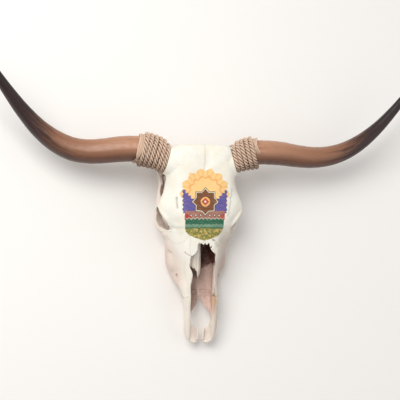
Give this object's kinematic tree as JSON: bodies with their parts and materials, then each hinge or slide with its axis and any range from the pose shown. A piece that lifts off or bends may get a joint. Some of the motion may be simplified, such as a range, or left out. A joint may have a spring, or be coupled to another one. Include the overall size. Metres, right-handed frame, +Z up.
{
  "type": "painted steer skull",
  "caption": "Still, life-size longhorn steer skull lying face up, with long upswept horns, rope-wrapped horn bases and a painted geometric panel on the forehead.",
  "frame": {"origin": "on the floor under the centre of the bounding box", "axes": "+X to the skull's left as it lies, which is the viewer's right; +Y from the nose towards the poll; +Z up, out of the forehead"},
  "size_m": [1.2983, 0.8096, 0.219],
  "materials": {
    "bone": "dry bleached bone, matt, with a hand-painted panel on the forehead",
    "tooth": "stained enamel, satin",
    "horn": "polished horn, brown at the base and near black towards the tips",
    "rope": "laid three-strand fibre rope"
  },
  "bodies": {
    "root": {"cranium": "bone", "face": "bone", "premaxilla_left": "bone", "premaxilla_right": "bone", "teeth_left": "tooth", "teeth_right": "tooth", "horn_left": "horn", "horn_right": "horn", "rope_left": "rope", "rope_right": "rope"}
  },
  "joints": []
}
